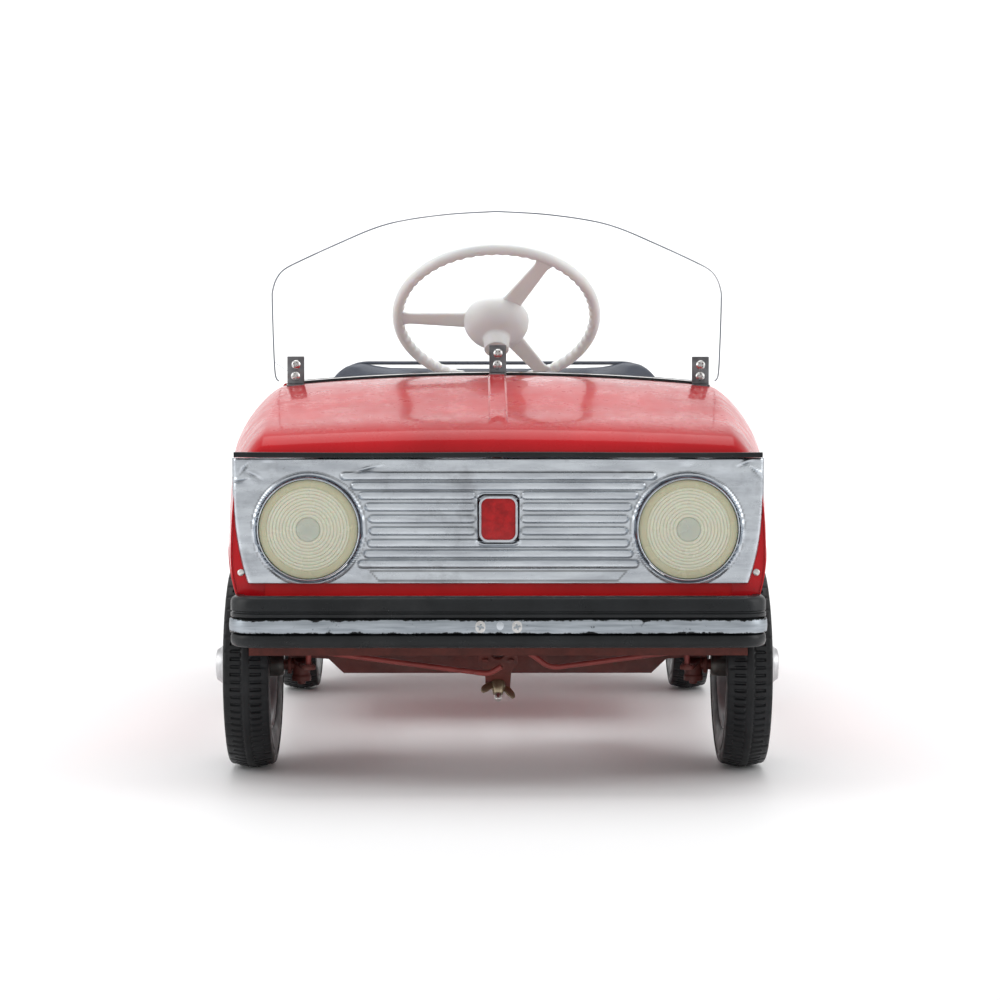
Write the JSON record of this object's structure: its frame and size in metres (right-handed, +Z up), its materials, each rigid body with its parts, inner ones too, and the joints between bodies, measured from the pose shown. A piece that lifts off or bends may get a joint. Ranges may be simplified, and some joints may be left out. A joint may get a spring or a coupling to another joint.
{
  "type": "pedal go kart",
  "caption": "Child's sheet-metal pedal car: red body, ribbed grille, round lamps, clear screen, ivory steering wheel, steered front wheels, cranked rear axle.",
  "frame": {"origin": "floor level, at the centre of the overall length and width", "axes": "+Z up, -Y toward the nose, +X toward the driver's left"},
  "size_m": [0.5232, 1.11, 0.5242],
  "materials": {
    "body_paint": "gloss enamel",
    "underframe_primer": "dull red-brown primer",
    "bright_trim": "stamped, satin, worn",
    "plain_steel": "dull",
    "black_trim": "satin",
    "tyre_rubber": "matte moulded",
    "lens_plastic": "ribbed translucent cream",
    "badge_enamel": "enamel",
    "clear_acrylic": "clear, scratched",
    "ivory_plastic": "semi-gloss",
    "seat_vinyl": "dark padded vinyl"
  },
  "bodies": {
    "chassis": {"hood_panel": "body_paint", "body_side_left": "body_paint", "body_side_right": "body_paint", "rear_deck": "body_paint", "front_valance": "body_paint", "dashboard": "body_paint", "seat_base": "body_paint", "frame_rail_left": "underframe_primer", "frame_rail_right": "underframe_primer", "axle_hanger_left": "underframe_primer", "axle_hanger_right": "underframe_primer", "front_cross_member": "underframe_primer", "column_bracket": "underframe_primer", "grille": "bright_trim", "headlight_housing_left": "bright_trim", "headlight_housing_right": "bright_trim", "headlight_lens_left": "lens_plastic", "headlight_lens_right": "lens_plastic", "badge": "badge_enamel", "hood_moulding": "black_trim", "cowl_trim": "black_trim", "front_bumper_rubber": "black_trim", "rear_bumper_rubber": "black_trim", "front_bumper_strip": "bright_trim", "rear_bumper_strip": "bright_trim", "windscreen": "clear_acrylic", "screen_bracket_left": "plain_steel", "screen_bracket_centre": "plain_steel", "screen_bracket_right": "plain_steel", "seat_cushion": "seat_vinyl", "seat_backrest": "seat_vinyl", "pedal_shaft": "plain_steel"},
    "steering": {"steering_wheel": "ivory_plastic", "steering_column": "plain_steel", "steering_crank": "underframe_primer", "wing_nut": "plain_steel"},
    "knuckle_left": {"knuckle_left": "underframe_primer"},
    "knuckle_right": {"knuckle_right": "underframe_primer"},
    "tie_rod_left": {"tie_rod_left": "plain_steel"},
    "tie_rod_right": {"tie_rod_right": "plain_steel"},
    "wheel_front_left": {"tyre_front_left": "tyre_rubber", "wheel_disc_front_left": "plain_steel", "hubcap_front_left": "bright_trim"},
    "wheel_front_right": {"tyre_front_right": "tyre_rubber", "wheel_disc_front_right": "plain_steel", "hubcap_front_right": "bright_trim"},
    "rear_axle": {"crank_axle": "plain_steel", "tyre_rear_left": "tyre_rubber", "wheel_disc_rear_left": "plain_steel", "hubcap_rear_left": "bright_trim"},
    "wheel_rear_right": {"tyre_rear_right": "tyre_rubber", "wheel_disc_rear_right": "plain_steel", "hubcap_rear_right": "bright_trim"},
    "connecting_rod_left": {"connecting_rod_left": "plain_steel"},
    "connecting_rod_right": {"connecting_rod_right": "plain_steel"},
    "pedal_left": {"pedal_left": "black_trim"},
    "pedal_right": {"pedal_right": "black_trim"}
  },
  "joints": [
    {"name": "steering_turn", "type": "hinge", "parent": "chassis", "child": "steering", "pos_m": [0, -0.16855, 0.4248], "axis": [0, 0.6428, 0.766], "range_deg": [-36, 36]},
    {"name": "knuckle_left_turn", "type": "hinge", "parent": "chassis", "child": "knuckle_left", "pos_m": [0.183, -0.375, 0.095], "axis": [0, 0, 1], "range_deg": [-20, 20]},
    {"name": "knuckle_right_turn", "type": "hinge", "parent": "chassis", "child": "knuckle_right", "pos_m": [-0.183, -0.375, 0.095], "axis": [0, 0, 1], "range_deg": [-20, 20]},
    {"name": "tie_rod_left_pin", "type": "hinge", "parent": "knuckle_left", "child": "tie_rod_left", "pos_m": [0.172, -0.44, 0.1145], "axis": [0, 0, 1], "range_deg": [-20, 20]},
    {"name": "tie_rod_right_pin", "type": "hinge", "parent": "knuckle_right", "child": "tie_rod_right", "pos_m": [-0.172, -0.44, 0.1145], "axis": [0, 0, 1], "range_deg": [-20, 20]},
    {"name": "wheel_front_left_spin", "type": "hinge", "parent": "knuckle_left", "child": "wheel_front_left", "pos_m": [0.227, -0.375, 0.095], "axis": [1, 0, 0], "continuous": true},
    {"name": "wheel_front_right_spin", "type": "hinge", "parent": "knuckle_right", "child": "wheel_front_right", "pos_m": [-0.227, -0.375, 0.095], "axis": [1, 0, 0], "continuous": true},
    {"name": "rear_axle_spin", "type": "hinge", "parent": "chassis", "child": "rear_axle", "pos_m": [0, 0.265, 0.095], "axis": [1, 0, 0], "continuous": true},
    {"name": "wheel_rear_right_spin", "type": "hinge", "parent": "rear_axle", "child": "wheel_rear_right", "pos_m": [-0.227, 0.265, 0.095], "axis": [1, 0, 0], "continuous": true},
    {"name": "connecting_rod_left_pin", "type": "hinge", "parent": "rear_axle", "child": "connecting_rod_left", "pos_m": [0.062, 0.23, 0.095], "axis": [1, 0, 0], "continuous": true},
    {"name": "connecting_rod_right_pin", "type": "hinge", "parent": "rear_axle", "child": "connecting_rod_right", "pos_m": [-0.062, 0.3, 0.095], "axis": [1, 0, 0], "continuous": true},
    {"name": "pedal_left_swing", "type": "hinge", "parent": "chassis", "child": "pedal_left", "pos_m": [0.078, -0.235, 0.275], "axis": [1, 0, 0], "range_deg": [0, 22.4]},
    {"name": "pedal_right_swing", "type": "hinge", "parent": "chassis", "child": "pedal_right", "pos_m": [-0.078, -0.235, 0.275], "axis": [1, 0, 0], "range_deg": [-22.4, 0]}
  ],
  "couplings": [
    {"joint": "knuckle_left_turn", "follows": "steering_turn", "ratio": 0.55},
    {"joint": "knuckle_right_turn", "follows": "steering_turn", "ratio": 0.55},
    {"joint": "tie_rod_left_pin", "follows": "steering_turn", "ratio": -0.55},
    {"joint": "tie_rod_right_pin", "follows": "steering_turn", "ratio": -0.55},
    {"joint": "connecting_rod_left_pin", "follows": "rear_axle_spin", "ratio": -1},
    {"joint": "connecting_rod_right_pin", "follows": "rear_axle_spin", "ratio": -1},
    {"joint": "pedal_right_swing", "follows": "pedal_left_swing", "ratio": -1}
  ]
}
